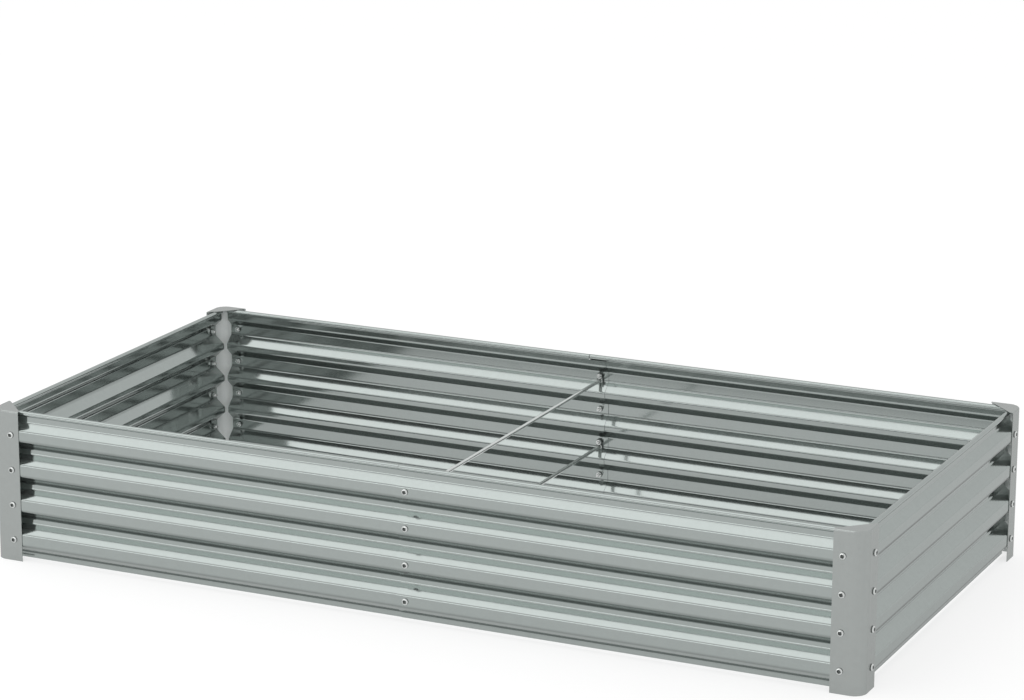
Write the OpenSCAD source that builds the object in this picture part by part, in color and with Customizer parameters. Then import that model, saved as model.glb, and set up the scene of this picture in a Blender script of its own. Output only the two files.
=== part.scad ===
/* [Bed] */
// Length of the bed over the outside of the corner posts
bed_length = 1800; // [1200:10:2400]
// Width of the bed over the outside of the corner posts
bed_width = 900; // [600:10:1200]

/* [Corrugation] */
// Number of outward ridges up the height of a panel, each with its row of bolts
row_count = 4; // [2:1:6]
// Distance from one ridge to the next
row_pitch = 71; // [68:1:80]
// Height of the lowest ridge above the ground
first_row_height = 43; // [40:1:50]
// Height of the panel above its top ridge
top_margin = 46.5; // [42:0.5:55]
// Height of a ridge between its two bends
ridge_height = 23.5; // [21:0.5:26]
// Height of a groove between its two bends
groove_height = 11; // [9:0.5:14]
// Depth of the corrugation over both faces of the sheet
corrugation_depth = 21; // [18:1:23]
// Radius of the bends, at the middle of the sheet
bend_radius = 6.5; // [5:0.5:7.5]

/* [Panels] */
// Thickness of the panel sheet
panel_sheet = 0.6; // [0.4:0.1:0.8]
// Gap between the lower edge of a panel and the ground
ground_gap = 3.5; // [2:0.5:7]
// How far the top ridge reaches above its bolts, up to its bend
top_ridge_rise = 9.5; // [9.5:0.5:12]
// How far the flat upper edge of a panel lies behind its ridges
upper_edge_depth = 15.5; // [12:0.5:17]
// Diameter of the rolled safety edge along the top
rolled_edge_diameter = 10; // [8:0.5:10.5]
// Distance from the outside of the bed to the end of a panel inside a post
panel_end_inset = 27; // [26:1:30]
// Overlap of the two panels of a long side
lap_length = 36; // [30:1:50]

/* [Corner posts] */
// Width of each flange of a corner post
post_leg = 62; // [58:1:70]
// Thickness of the post sheet
post_sheet = 1.2; // [1:0.1:2]
// Outer radius of the rounded corner
corner_radius = 25; // [18:1:26]
// Outer radius of the bend between a flange and the cap
cap_bend = 3; // [2:0.5:4]
// Width of the cap's edge where it ends above the tip of a flange
cap_tip = 6; // [4:1:10]
// Distance from the outside of the corner to the column of bolts
bolt_inset = 44; // [42:1:48]

/* [Tie rods] */
// Diameter of the two tie rods across the middle
tie_rod_diameter = 7; // [5:0.5:8]
// Distance from the bolt down to the middle of its tie rod
tie_rod_drop = 10; // [10:0.5:14]
// Width of the flat end of a tie rod
tie_end_width = 14; // [13:1:18]
// Thickness of the flat end of a tie rod
tie_end_thickness = 3; // [2:0.5:4]

/* [Fasteners] */
// Diameter of the bolt shank
bolt_diameter = 6; // [5:0.5:6]
// Shank length of the bolts through the corner posts
corner_bolt_length = 12; // [11:1:16]
// Shank length of the bolts through the middle lap
middle_bolt_length = 16; // [15:1:20]
// Diameter of the bolt head
bolt_head_diameter = 13; // [11:0.5:14]
// Height of the bolt head
bolt_head_height = 3.6; // [3:0.2:4.4]
// Height of the straight rim of the bolt head
bolt_head_rim = 0.8; // [0.4:0.1:1.2]
// Length of each arm of the cross recess over both ends
recess_length = 6.4; // [5:0.2:7]
// Width of each arm of the cross recess
recess_width = 1.3; // [1:0.1:1.6]
// Depth of the cross recess
recess_depth = 1.6; // [1:0.1:2]
// Width of the nut across its flats
nut_width = 10; // [9:0.5:10]
// Height of the nut
nut_height = 5; // [4:0.5:5.5]
// Diameter of the washer
washer_diameter = 12; // [11:0.5:12]
// Thickness of the washer
washer_thickness = 1.2; // [0.8:0.1:1.6]

/* [Hidden] */

// Clearances
seat_gap = 0.05;
lap_gap = 0.15;
hole_clearance = 0.25;
thread_clearance = 0.1;
washer_clearance = 0.2;
nut_chamfer = 0.05;
cap_clearance = 0.3;
notch_clearance = 1;
overrun = 1;

// Smoothness of round things
$fn = 48;
bend_steps = 6;
roll_steps = 20;
dome_steps = 8;

// Colours of bare and of bright zinc
post_colour = [0.64, 0.66, 0.65];
panel_colour = [0.68, 0.71, 0.70];
rod_colour = [0.60, 0.63, 0.62];
fastener_colour = [0.78, 0.79, 0.79];

// Heights
top_row_height = first_row_height + (row_count - 1) * row_pitch;
panel_top = top_row_height + top_margin;
post_height = panel_top + cap_clearance + post_sheet;
slope_height = (row_pitch - ridge_height - groove_height) / 2;

// Corrugation, measured on the middle of the sheet: depth is inwards from the ridges
groove_depth = corrugation_depth - panel_sheet;
slope_angle = atan(groove_depth / slope_height);

// The rolled edge starts on its inner side and ends below, clear of the sheet
roll_radius = (rolled_edge_diameter - panel_sheet) / 2;
roll_start = -70;
roll_end = 255;
roll_centre = [upper_edge_depth - roll_radius * cos(roll_start), panel_top - rolled_edge_diameter / 2];
roll_foot = roll_centre.y - rolled_edge_diameter / 2;

// Where things lie, inwards from the outside face of a wall
ridge_face = post_sheet + seat_gap;
corner_stack = ridge_face + panel_sheet;
lap_step = panel_sheet / cos(slope_angle) + lap_gap;
lap_stack = ridge_face + lap_step + panel_sheet;
lap_swing = atan(lap_step / (bed_length / 2 - panel_end_inset));
hole_diameter = bolt_diameter + 2 * hole_clearance;

// Ball that shapes the dome of a bolt head
dome_height = bolt_head_height - bolt_head_rim;
dome_radius = (pow(bolt_head_diameter / 2, 2) + pow(dome_height, 2)) / (2 * dome_height);
dome_angle = asin(bolt_head_diameter / 2 / dome_radius);

// The tie rods join the top row of bolts and the third row from the top
upper_rod_row = row_count - 1;
lower_rod_row = max(row_count - 3, 0);

function row_height(row) = first_row_height + row * row_pitch;
function has_rod(row) = row == upper_rod_row || row == lower_rod_row;
function tie_stack(row) = lap_stack + (has_rod(row) ? seat_gap + tie_end_thickness : 0);
function unit(v) = v / norm(v);
function perpendicular(v) = [-v.y, v.x];

// Corners of the panel's section, from its lower edge up to where the rolled edge starts
upper_slope = slope_height * upper_edge_depth / groove_depth;
panel_corners = concat(
    [[groove_depth, ground_gap]],
    [for (row = [0:row_count - 1]) each [
        [groove_depth, row_height(row) - ridge_height / 2 - slope_height],
        [0, row_height(row) - ridge_height / 2],
        [0, row_height(row) + (row < row_count - 1 ? ridge_height / 2 : top_ridge_rise)],
        if (row < row_count - 1)
            [groove_depth, row_height(row) + ridge_height / 2 + slope_height]]],
    [[upper_edge_depth, top_row_height + top_ridge_rise + upper_slope],
     [upper_edge_depth, roll_centre.y + roll_radius * sin(roll_start)]]
);

// A round bend at corner b of a path that comes from a and goes on to c
function bend(a, b, c) =
    let (
        back = unit(a - b),
        on = unit(c - b),
        half = acos(back * on) / 2,
        centre = b + unit(back + on) * bend_radius / sin(half),
        start = b + back * bend_radius / tan(half) - centre,
        finish = b + on * bend_radius / tan(half) - centre,
        first = atan2(start.y, start.x),
        turn = (atan2(finish.y, finish.x) - first + 540) % 360 - 180
    )
    [for (i = [0:bend_steps])
        let (angle = first + turn * i / bend_steps)
        centre + bend_radius * [cos(angle), sin(angle)]];

// The middle line of the sheet, with its bends and the rolled edge
panel_path = concat(
    [panel_corners[0]],
    [for (i = [1:len(panel_corners) - 2])
        each bend(panel_corners[i - 1], panel_corners[i], panel_corners[i + 1])],
    [for (i = [0:roll_steps])
        let (angle = roll_start + (roll_end - roll_start) * i / roll_steps)
        roll_centre + roll_radius * [cos(angle), sin(angle)]]
);

// One face of the sheet, half a thickness to one side of the path
function sheet_face(path, side) =
    [for (i = [0:len(path) - 1])
        let (
            before = perpendicular(unit(path[max(i, 1)] - path[max(i, 1) - 1])),
            after = perpendicular(unit(path[min(i + 1, len(path) - 1)] - path[min(i, len(path) - 2)])),
            across = unit(before + after)
        )
        path[i] + side * across * panel_sheet / 2 / (across * before)];

function reversed(list) = [for (i = [len(list) - 1:-1:0]) list[i]];

// Places a thing made for the front left corner at one of the four corners
module at_corner(end, face) {
    mirror([end > 0 ? 1 : 0, 0, 0])
        mirror([0, face > 0 ? 1 : 0, 0])
            translate([-bed_length / 2, -bed_width / 2, 0])
                children();
}

// Places a thing made on a wall's outside face, with +Y inwards, on a long wall
module on_long_wall(face) {
    mirror([0, face > 0 ? 1 : 0, 0])
        translate([0, -bed_width / 2, 0])
            children();
}

// The same on a short wall
module on_short_wall(end) {
    mirror([end > 0 ? 1 : 0, 0, 0])
        rotate([0, 0, -90])
            translate([0, -bed_length / 2, 0])
                children();
}

// Turns a thing made along +Z so that it points inwards through a wall
module inwards() {
    rotate([-90, 0, 0]) children();
}

module at_rows(x) {
    for (row = [0:row_count - 1])
        translate([x, 0, row_height(row)])
            children();
}

// Column of bolt holes through a wall
module holes(x) {
    at_rows(x)
        translate([0, -overrun, 0])
            inwards()
                cylinder(h = corrugation_depth, d = hole_diameter);
}

module panel_section() {
    polygon(concat(sheet_face(panel_path, -1), reversed(sheet_face(panel_path, 1))));
}

// A corrugated sheet from x to x + length, with its ridges on the line y = 0
module corrugated_sheet(x, length) {
    translate([x, panel_sheet / 2, 0])
        rotate([90, 0, 90])
            linear_extrude(height = length)
                panel_section();
}

// The outer sheet of a long wall lies flat against the posts
module outer_panel() {
    start = -lap_length / 2;
    color(panel_colour)
        difference() {
            translate([0, ridge_face, 0])
                corrugated_sheet(start, bed_length / 2 - panel_end_inset - start);
            holes(0);
            holes(bed_length / 2 - bolt_inset);
        }
}

// The inner sheet touches the posts too, and swings in a little to pass behind the outer one.
// Its rolled edge is cut back along the lap.
module inner_panel() {
    start = -bed_length / 2 + panel_end_inset;
    length = lap_length / 2 - start;
    color(panel_colour)
        difference() {
            translate([start, ridge_face, 0])
                rotate([0, 0, lap_swing])
                    corrugated_sheet(0, length);
            holes(0);
            holes(-bed_length / 2 + bolt_inset);
            translate([-lap_length / 2 - notch_clearance, 0, roll_foot - notch_clearance])
                cube([lap_length + notch_clearance + overrun, lap_stack + corrugation_depth,
                      rolled_edge_diameter + notch_clearance + overrun]);
        }
}

// One sheet makes the whole of a short wall
module side_panel() {
    reach = bed_width / 2 - panel_end_inset;
    color(panel_colour)
        difference() {
            translate([0, ridge_face, 0])
                corrugated_sheet(-reach, 2 * reach);
            for (end = [-1, 1])
                holes(end * (bed_width / 2 - bolt_inset));
        }
}

// Section of the post's sheet: up the wall, round the bend and along the cap
module post_section(reach) {
    difference() {
        bent_block(reach, post_height, cap_bend);
        translate([post_sheet, -overrun])
            bent_block(reach, post_height - post_sheet + overrun, cap_bend - post_sheet);
    }
}

module bent_block(reach, height, radius) {
    square([reach, height - radius]);
    translate([radius, 0])
        square([reach - radius, height]);
    translate([radius, height - radius])
        circle(r = radius);
}

// One flange, from the end of the rounded corner to its tip
module flange() {
    translate([corner_radius, 0, 0])
        rotate([90, 0, 90])
            linear_extrude(height = post_leg - corner_radius)
                post_section(cap_tip);
}

// Swaps X and Y, from the one flange to the other
module on_other_flange() {
    rotate([0, 0, 90])
        mirror([0, 1, 0])
            children();
}

// Folded sheet post with two flanges, a rounded corner and a closed cap on top
module post() {
    color(post_colour)
        difference() {
            union() {
                flange();
                on_other_flange() flange();
                translate([corner_radius, corner_radius, 0])
                    rotate([0, 0, 180])
                        rotate_extrude(angle = 90)
                            translate([corner_radius, 0])
                                mirror([1, 0])
                                    post_section(corner_radius / 2);
                translate([0, 0, post_height - post_sheet])
                    linear_extrude(height = post_sheet)
                        polygon([[cap_bend, corner_radius], [corner_radius, cap_bend],
                                 [post_leg, cap_bend], [post_leg, cap_tip],
                                 [cap_tip, post_leg], [cap_bend, post_leg]]);
            }
            holes(bolt_inset);
            on_other_flange() holes(bolt_inset);
        }
}

// Round rod with flat ends that hang from the bolts
module tie_rod(row) {
    reach = bed_width / 2 - lap_stack - seat_gap;
    color(rod_colour)
        translate([0, 0, row_height(row)])
            difference() {
                union() {
                    translate([0, -reach + tie_end_thickness / 2, -tie_rod_drop])
                        inwards()
                            cylinder(h = 2 * reach - tie_end_thickness, d = tie_rod_diameter);
                    for (face = [-1, 1])
                        mirror([0, face > 0 ? 1 : 0, 0])
                            translate([0, -reach, 0])
                                tie_end();
                }
                translate([0, -bed_width / 2, 0])
                    inwards()
                        cylinder(h = bed_width, d = hole_diameter);
            }
}

module tie_end() {
    for (z = [0, -tie_rod_drop])
        translate([0, 0, z])
            inwards()
                cylinder(h = tie_end_thickness, d = tie_end_width);
    translate([-tie_end_width / 2, 0, -tie_rod_drop])
        cube([tie_end_width, tie_end_thickness, tie_rod_drop]);
}

// Domed head outside, shank inwards, with the head's seat at z = 0
module bolt(length) {
    difference() {
        rotate_extrude()
            polygon(concat(
                [for (i = [0:dome_steps])
                    dome_radius * [sin(dome_angle * i / dome_steps), -cos(dome_angle * i / dome_steps)]
                    + [0, dome_radius - bolt_head_height]],
                [[bolt_head_diameter / 2, 0], [bolt_diameter / 2, 0],
                 [bolt_diameter / 2, length], [0, length]]));
        for (angle = [0, 90])
            rotate([0, 0, angle])
                translate([-recess_length / 2, -recess_width / 2, -bolt_head_height - overrun])
                    cube([recess_length, recess_width, recess_depth + overrun]);
    }
}

module nut() {
    difference() {
        intersection() {
            cylinder(h = nut_height, d = nut_width / cos(30), $fn = 6);
            translate([0, 0, nut_height / 2])
                sphere(r = norm([nut_width / 2, nut_height / 2]) + nut_chamfer);
        }
        translate([0, 0, -overrun])
            cylinder(h = nut_height + 2 * overrun, d = bolt_diameter + thread_clearance);
    }
}

module washer() {
    difference() {
        cylinder(h = washer_thickness, d = washer_diameter);
        translate([0, 0, -overrun])
            cylinder(h = washer_thickness + 2 * overrun, d = bolt_diameter + 2 * washer_clearance);
    }
}

// A column of one kind of fastener, at its depth in the wall
module fastener_column(kind, x, middle) {
    for (row = [0:row_count - 1]) {
        stack = (middle ? tie_stack(row) : corner_stack) + seat_gap;
        head_seat = middle ? ridge_face - seat_gap : -seat_gap;
        color(fastener_colour)
            translate([x, 0, row_height(row)]) {
                if (kind == "bolts")
                    translate([0, head_seat, 0])
                        inwards() bolt(middle ? middle_bolt_length : corner_bolt_length);
                if (kind == "washers")
                    translate([0, stack, 0])
                        inwards() washer();
                if (kind == "nuts")
                    translate([0, stack + washer_thickness + seat_gap, 0])
                        inwards() nut();
            }
    }
}

module corner_fasteners(kind, end, face, wall) {
    if (wall == "long")
        on_long_wall(face)
            fastener_column(kind, end * (bed_length / 2 - bolt_inset), false);
    else
        on_short_wall(end)
            fastener_column(kind, -face * (bed_width / 2 - bolt_inset), false);
}

module front_panel_left() { on_long_wall(-1) inner_panel(); }
module front_panel_right() { on_long_wall(-1) outer_panel(); }
module back_panel_left() { on_long_wall(1) inner_panel(); }
module back_panel_right() { on_long_wall(1) outer_panel(); }
module side_panel_left() { on_short_wall(-1) side_panel(); }
module side_panel_right() { on_short_wall(1) side_panel(); }

front_panel_left();
front_panel_right();
back_panel_left();
back_panel_right();
side_panel_left();
side_panel_right();
tie_rod(upper_rod_row);  // tie_rod_upper
tie_rod(lower_rod_row);  // tie_rod_lower

for (face = [-1, 1]) {
    face_name = face < 0 ? "front" : "back";
    for (end = [-1, 1]) {
        corner_name = str(face_name, "_", end < 0 ? "left" : "right");
        at_corner(end, face) post();
        for (kind = ["bolts", "nuts", "washers"], wall = ["long", "short"])
            corner_fasteners(kind, end, face, wall);
    }
    for (kind = ["bolts", "nuts", "washers"])
        on_long_wall(face) fastener_column(kind, 0, true);
}
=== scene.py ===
"""Looks of the raised garden bed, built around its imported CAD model."""

import math

import bmesh
import bpy
from mathutils import Matrix, Vector


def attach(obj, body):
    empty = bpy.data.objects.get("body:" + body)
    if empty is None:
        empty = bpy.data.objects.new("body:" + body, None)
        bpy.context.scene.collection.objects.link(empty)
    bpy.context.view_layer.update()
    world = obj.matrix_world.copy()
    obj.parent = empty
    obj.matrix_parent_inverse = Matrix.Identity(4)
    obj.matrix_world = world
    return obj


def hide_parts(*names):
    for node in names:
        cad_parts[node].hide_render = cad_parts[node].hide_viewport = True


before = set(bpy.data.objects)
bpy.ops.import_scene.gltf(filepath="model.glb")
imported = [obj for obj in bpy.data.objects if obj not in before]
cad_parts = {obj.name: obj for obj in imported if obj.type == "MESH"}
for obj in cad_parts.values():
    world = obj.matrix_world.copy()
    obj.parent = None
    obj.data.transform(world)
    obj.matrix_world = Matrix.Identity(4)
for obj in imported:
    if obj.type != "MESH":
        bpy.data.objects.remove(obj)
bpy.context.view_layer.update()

MM = 0.001

# Sizes of the bed, the CAD model's except for the finer forms of the fasteners
BED_LENGTH = 1800 * MM
BED_WIDTH = 900 * MM
ROW_HEIGHTS = [43 * MM, 114 * MM, 185 * MM, 256 * MM]
PANEL_TOP = 302.5 * MM
GROUND_GAP = 3.5 * MM
RIDGE_HEIGHT = 23.5 * MM
GROOVE_HEIGHT = 11 * MM
TOP_RIDGE_RISE = 9.5 * MM
PANEL_SHEET = 0.6 * MM
GROOVE_DEPTH = 21 * MM - PANEL_SHEET
BEND_RADIUS = 6.5 * MM
UPPER_EDGE_DEPTH = 15.5 * MM
ROLLED_EDGE = 10 * MM
ROLL_START = math.radians(-70)
ROLL_END = math.radians(255)
PANEL_END_INSET = 27 * MM
LAP_LENGTH = 36 * MM
LAP_GAP = 0.15 * MM
SEAT_GAP = 0.05 * MM
NOTCH_CLEARANCE = 1 * MM

POST_LEG = 62 * MM
POST_SHEET = 1.2 * MM
POST_HEIGHT = 304 * MM
CORNER_RADIUS = 25 * MM
CAP_BEND = 3 * MM
CAP_TIP = 6 * MM
BOLT_INSET = 44 * MM

TIE_ROD_RADIUS = 3.5 * MM
TIE_ROD_DROP = 10 * MM
TIE_END_RADIUS = 7 * MM
TIE_END_THICKNESS = 3 * MM
TIE_END_SOFTENING = 0.3 * MM
TIE_ROD_FLARE = 1.6 * MM

HOLE_RADIUS = 3.25 * MM
BOLT_RADIUS = 3 * MM
BOLT_HEAD_RADIUS = 6.5 * MM
BOLT_HEAD_HEIGHT = 3.6 * MM
BOLT_HEAD_RIM = 0.8 * MM
BOLT_HEAD_SOFTENING = 0.15 * MM
SHOULDER_FULLNESS = 0.72
CORNER_BOLT_LENGTH = 12 * MM
MIDDLE_BOLT_LENGTH = 16 * MM
THREAD_PITCH = 1 * MM
THREAD_DEPTH = 0.45 * MM
PLAIN_SHANK = 1.5 * MM
TIP_LENGTH = 0.8 * MM
TIP_SLOPE = 0.7
RECESS_LENGTH = 8 * MM
RECESS_WIDTH = 2 * MM
RECESS_DEPTH = 1.8 * MM
# No face of the recess lies farther out than this
RECESS_REACH = RECESS_LENGTH * 0.62
NUT_WIDTH = 10 * MM
NUT_HEIGHT = 5 * MM
NUT_BORE = 3.05 * MM
NUT_BORE_CHAMFER = (0.4 * MM, 0.5 * MM)
NUT_CROWN_SHARE = 0.97
NUT_CROWN_SLOPE = 0.55
WASHER_RADIUS = 6 * MM
WASHER_BORE = 3.2 * MM
WASHER_THICKNESS = 1.2 * MM
WASHER_SOFTENING = 0.12 * MM

# Sizes that follow from them, with depths inwards from the outside face of a wall
ROW_PITCH = ROW_HEIGHTS[1] - ROW_HEIGHTS[0]
SLOPE_HEIGHT = (ROW_PITCH - RIDGE_HEIGHT - GROOVE_HEIGHT) / 2
SLOPE_ANGLE = math.atan(GROOVE_DEPTH / SLOPE_HEIGHT)
HALF_RIDGE_FLAT = RIDGE_HEIGHT / 2 - BEND_RADIUS * math.tan(SLOPE_ANGLE / 2)
RIDGE_FACE = POST_SHEET + SEAT_GAP
CORNER_STACK = RIDGE_FACE + PANEL_SHEET
LAP_STEP = PANEL_SHEET / math.cos(SLOPE_ANGLE) + LAP_GAP
LAP_STACK = RIDGE_FACE + LAP_STEP + PANEL_SHEET
LAP_SWING = math.atan(LAP_STEP / (BED_LENGTH / 2 - PANEL_END_INSET))
# Rows of bolts that carry tie rods, where the lowest row is 0
ROD_ROWS = (1, 3)

# Smoothness: the steps of round forms, and the bends that still shade as one face
BEND_STEPS = 12
ROLL_STEPS = 40
HOLE_STEPS = 32
SHEET_STEP = 45 * MM
CORNER_STEPS = 20
CAP_STEPS = 8
HEAD_STEPS = 48
SHOULDER_STEPS = 14
SHANK_STEPS = 24
STEPS_PER_THREAD = 6
NUT_STEPS = 72
WASHER_STEPS = 48
ROD_STEPS = 40
FLARE_STEPS = 6
SMOOTH_BEND = math.radians(40)
SMOOTH_CUT = math.radians(30)
# Places closer than this are the same
SAME_PLACE = MM / 10

RIGHT = Vector((1, 0, 0))
INWARDS = Vector((0, 1, 0))
UP = Vector((0, 0, 1))


# Meshes


class Shape:
    """Points and faces of one mesh. Each face has its finish and the normals that its corners shade with."""

    def __init__(self):
        self.points = []
        self.faces = []
        self.normals = []
        self.finishes = []

    def point(self, place):
        self.points.append(Vector(place))
        return len(self.points) - 1

    def face(self, corners, normals=None, towards=None, finish=0):
        """Adds a face. It is turned so that it looks the way of its normals, or towards a given vector."""
        flat = self.flat_normal(corners)
        lead = sum(normals, Vector()) if normals else towards
        if flat.dot(lead) < 0:
            corners = corners[::-1]
            normals = normals[::-1] if normals else None
            flat = -flat
        self.faces.append(corners)
        self.normals.append(normals or [flat] * len(corners))
        self.finishes.append(finish)

    def flat_normal(self, corners):
        total, first = Vector(), self.points[corners[0]]
        for here, there in zip(corners[1:], corners[2:]):
            total += (self.points[here] - first).cross(self.points[there] - first)
        return total.normalized()

    def add(self, other, place, finish=None):
        """Adds another shape, moved to a place, with its own finishes or all in one."""
        start = len(self.points)
        turn = place.to_3x3()
        self.points += [place @ p for p in other.points]
        self.faces += [[start + i for i in corners] for corners in other.faces]
        self.normals += [[(turn @ n).normalized() for n in ns] for ns in other.normals]
        self.finishes += other.finishes if finish is None else [finish] * len(other.faces)

    def piece(self, name, materials):
        """The mesh as an object in the scene, with a material for each finish."""
        mesh = bpy.data.meshes.new(name)
        mesh.from_pydata(self.points, [], self.faces)
        mesh.polygons.foreach_set("use_smooth", [True] * len(mesh.polygons))
        mesh.normals_split_custom_set([n for ns in self.normals for n in ns])
        mesh.polygons.foreach_set("material_index", self.finishes)
        for material in materials:
            mesh.materials.append(material)
        made = bpy.data.objects.new(name, mesh)
        bpy.context.scene.collection.objects.link(made)
        return made


def placed(shape, place):
    """The same shape moved to a place."""
    made = Shape()
    made.add(shape, place)
    return made


def mirrored(shape, axis):
    """The same shape seen in a mirror across an axis."""
    place = Matrix.Identity(4)
    place[axis][axis] = -1
    made = placed(shape, place)
    made.faces = [corners[::-1] for corners in made.faces]
    made.normals = [normals[::-1] for normals in made.normals]
    return made


def circle_points(radius, steps, start=0):
    """Points round a circle, the first at a start that is given in steps from the right."""
    turns = [math.tau * (k + start) / steps for k in range(steps)]
    return [(radius * math.cos(turn), radius * math.sin(turn)) for turn in turns]


def hole_points():
    """Points round a bolt hole, from its lower right on."""
    return circle_points(HOLE_RADIUS, HOLE_STEPS, start=-HOLE_STEPS // 8)


def strip(near, far, k):
    """Corners of the face between two closed rings of points, from step k to the next."""
    on = (k + 1) % len(near)
    return [near[k], near[on], far[on], far[k]]


def pierced_cell(shape, corners, rim, outwards, finish=0):
    """Fills the face between the four corners of a cell and the rim of the hole in it. Both start at the
    lower right and run the same way."""
    quarter = len(rim) // 4
    for side in range(4):
        here, there = corners[side], corners[(side + 1) % 4]
        arc = [rim[(side * quarter + k) % len(rim)] for k in range(quarter + 1)]
        middle = quarter // 2
        for k in range(quarter):
            shape.face([here if k < middle else there, arc[k], arc[k + 1]], [outwards] * 3, finish=finish)
        shape.face([here, there, arc[middle]], [outwards] * 3, finish=finish)


def bore_wall(shape, near, far, centre):
    """The wall of a round hole between its two rims, which looks at the hole's middle line."""
    axis = (shape.points[far[0]] - shape.points[near[0]]).normalized()

    def normal(index):
        out = centre - shape.points[index]
        return (out - out.dot(axis) * axis).normalized()

    for k in range(len(near)):
        ring = strip(near, far, k)
        shape.face(ring, [normal(i) for i in ring])


class BentSheet:
    """A bent sheet as a grid of points on each side, with its rows counted from its foot up. Side -1 is
    the outer one, and side 1 the inner one, which is finish 1."""

    def __init__(self, thickness):
        self.thickness = thickness
        self.shape = Shape()
        self.grid = {}

    def set_point(self, side, row, column, place, normal):
        self.grid[side, row, column] = self.shape.point(place), normal

    def point(self, side, row, column):
        return self.grid[side, row, column][0]

    def cells(self, rows, holes):
        """Both sides of the sheet, each column up to a row of its own, but for the cells with holes."""
        for side in (-1, 1):
            for column, top in enumerate(rows):
                for row in range(top):
                    if (row, column) not in holes:
                        self.cell(side, row, column)

    def cell(self, side, row, column):
        """One side of the sheet from a row and a column to the next ones."""
        spots = ((row, column), (row, column + 1), (row + 1, column + 1), (row + 1, column))
        points, normals = zip(*[self.grid[side, *spot] for spot in spots])
        self.shape.face(list(points), list(normals), finish=int(side > 0))

    def cut_edge(self, spot, next_spot, towards):
        """A strip of cut edge through the sheet, between two neighbours in the grid."""
        self.shape.face([self.point(-1, *spot), self.point(-1, *next_spot),
                         self.point(1, *next_spot), self.point(1, *spot)], towards=towards)

    def bolt_hole(self, row, left, right, centre, rightwards, inwards):
        """A bolt hole between a row and the next, and between the columns to its left and its right as seen
        from outside. Its centre is given on the outer side."""
        rims = []
        for side, depth in ((-1, 0), (1, self.thickness)):
            middle = centre + depth * inwards
            rim = [self.shape.point(middle + u * rightwards + v * UP) for u, v in hole_points()]
            spots = ((row, right), (row + 1, right), (row + 1, left), (row, left))
            corners = [self.point(side, *spot) for spot in spots]
            pierced_cell(self.shape, corners, rim, side * inwards, finish=int(side > 0))
            rims.append(rim)
        bore_wall(self.shape, *rims, centre)


# Panels


def section_corners():
    """Corners of the panel's section as (depth, height), from its lower edge up."""
    upper_slope = SLOPE_HEIGHT * UPPER_EDGE_DEPTH / GROOVE_DEPTH
    half = RIDGE_HEIGHT / 2
    corners = [
        (GROOVE_DEPTH, GROUND_GAP),
        (GROOVE_DEPTH, ROW_HEIGHTS[0] - half - SLOPE_HEIGHT),
        (0, ROW_HEIGHTS[0] - half),
    ]
    for height, above in zip(ROW_HEIGHTS, ROW_HEIGHTS[1:]):
        corners += [
            (0, height + half),
            (GROOVE_DEPTH, height + half + SLOPE_HEIGHT),
            (GROOVE_DEPTH, above - half - SLOPE_HEIGHT),
            (0, above - half),
        ]
    corners += [
        (0, ROW_HEIGHTS[-1] + TOP_RIDGE_RISE),
        (UPPER_EDGE_DEPTH, ROW_HEIGHTS[-1] + TOP_RIDGE_RISE + upper_slope),
    ]
    return [Vector(c) for c in corners]


def bend(before, corner, after):
    """Points and directions of a round bend at a corner of the section."""
    back, on = (before - corner).normalized(), (after - corner).normalized()
    half = math.acos(back.dot(on)) / 2
    centre = corner + (back + on).normalized() * BEND_RADIUS / math.sin(half)
    start = corner + back * BEND_RADIUS / math.tan(half) - centre
    finish = corner + on * BEND_RADIUS / math.tan(half) - centre
    first = math.atan2(start.y, start.x)
    turn = (math.atan2(finish.y, finish.x) - first + math.pi) % math.tau - math.pi
    made = []
    for step in range(BEND_STEPS + 1):
        angle = first + turn * step / BEND_STEPS
        spoke = Vector((math.cos(angle), math.sin(angle)))
        along = Vector((-spoke.y, spoke.x)) * math.copysign(1, turn)
        made.append((centre + BEND_RADIUS * spoke, along))
    return made


def panel_section():
    """The sheet's middle line as (point, direction), the rows of it where the flats with bolts start,
    and the row that an inner panel's notch goes down to."""
    roll_radius = (ROLLED_EDGE - PANEL_SHEET) / 2
    roll_centre = Vector((UPPER_EDGE_DEPTH - roll_radius * math.cos(ROLL_START),
                          PANEL_TOP - ROLLED_EDGE / 2))
    roll_foot = roll_centre + roll_radius * Vector((math.cos(ROLL_START), math.sin(ROLL_START)))
    notch_height = roll_centre.y - ROLLED_EDGE / 2 - NOTCH_CLEARANCE
    up = Vector((0, 1))
    corners = section_corners()
    ends = corners + [roll_foot]
    path = [(corners[0], up)]
    bolt_rows = []
    for before, corner, after in zip(ends, ends[1:], ends[2:]):
        if before.x == 0 and corner.x == 0:
            bolt_rows.append(len(path) - 1)
        path += bend(before, corner, after)
    path.append((Vector((UPPER_EDGE_DEPTH, notch_height)), up))
    notch_row = len(path) - 1
    for step in range(ROLL_STEPS + 1):
        angle = ROLL_START + (ROLL_END - ROLL_START) * step / ROLL_STEPS
        spoke = Vector((math.cos(angle), math.sin(angle)))
        path.append((roll_centre + roll_radius * spoke, Vector((-spoke.y, spoke.x))))
    return path, bolt_rows, notch_row


def column_places(start, end, holes, cuts):
    """Where the columns of a panel's grid lie: at its ends, beside its holes, at its cuts and between."""
    fixed = sorted([start, end, *cuts, *[h + side * HALF_RIDGE_FLAT for h in holes for side in (-1, 1)]])
    places = []
    for here, there in zip(fixed, fixed[1:]):
        steps = max(1, round((there - here) / SHEET_STEP))
        places += [here + (there - here) * k / steps for k in range(steps)]
    return places + [end]


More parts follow.
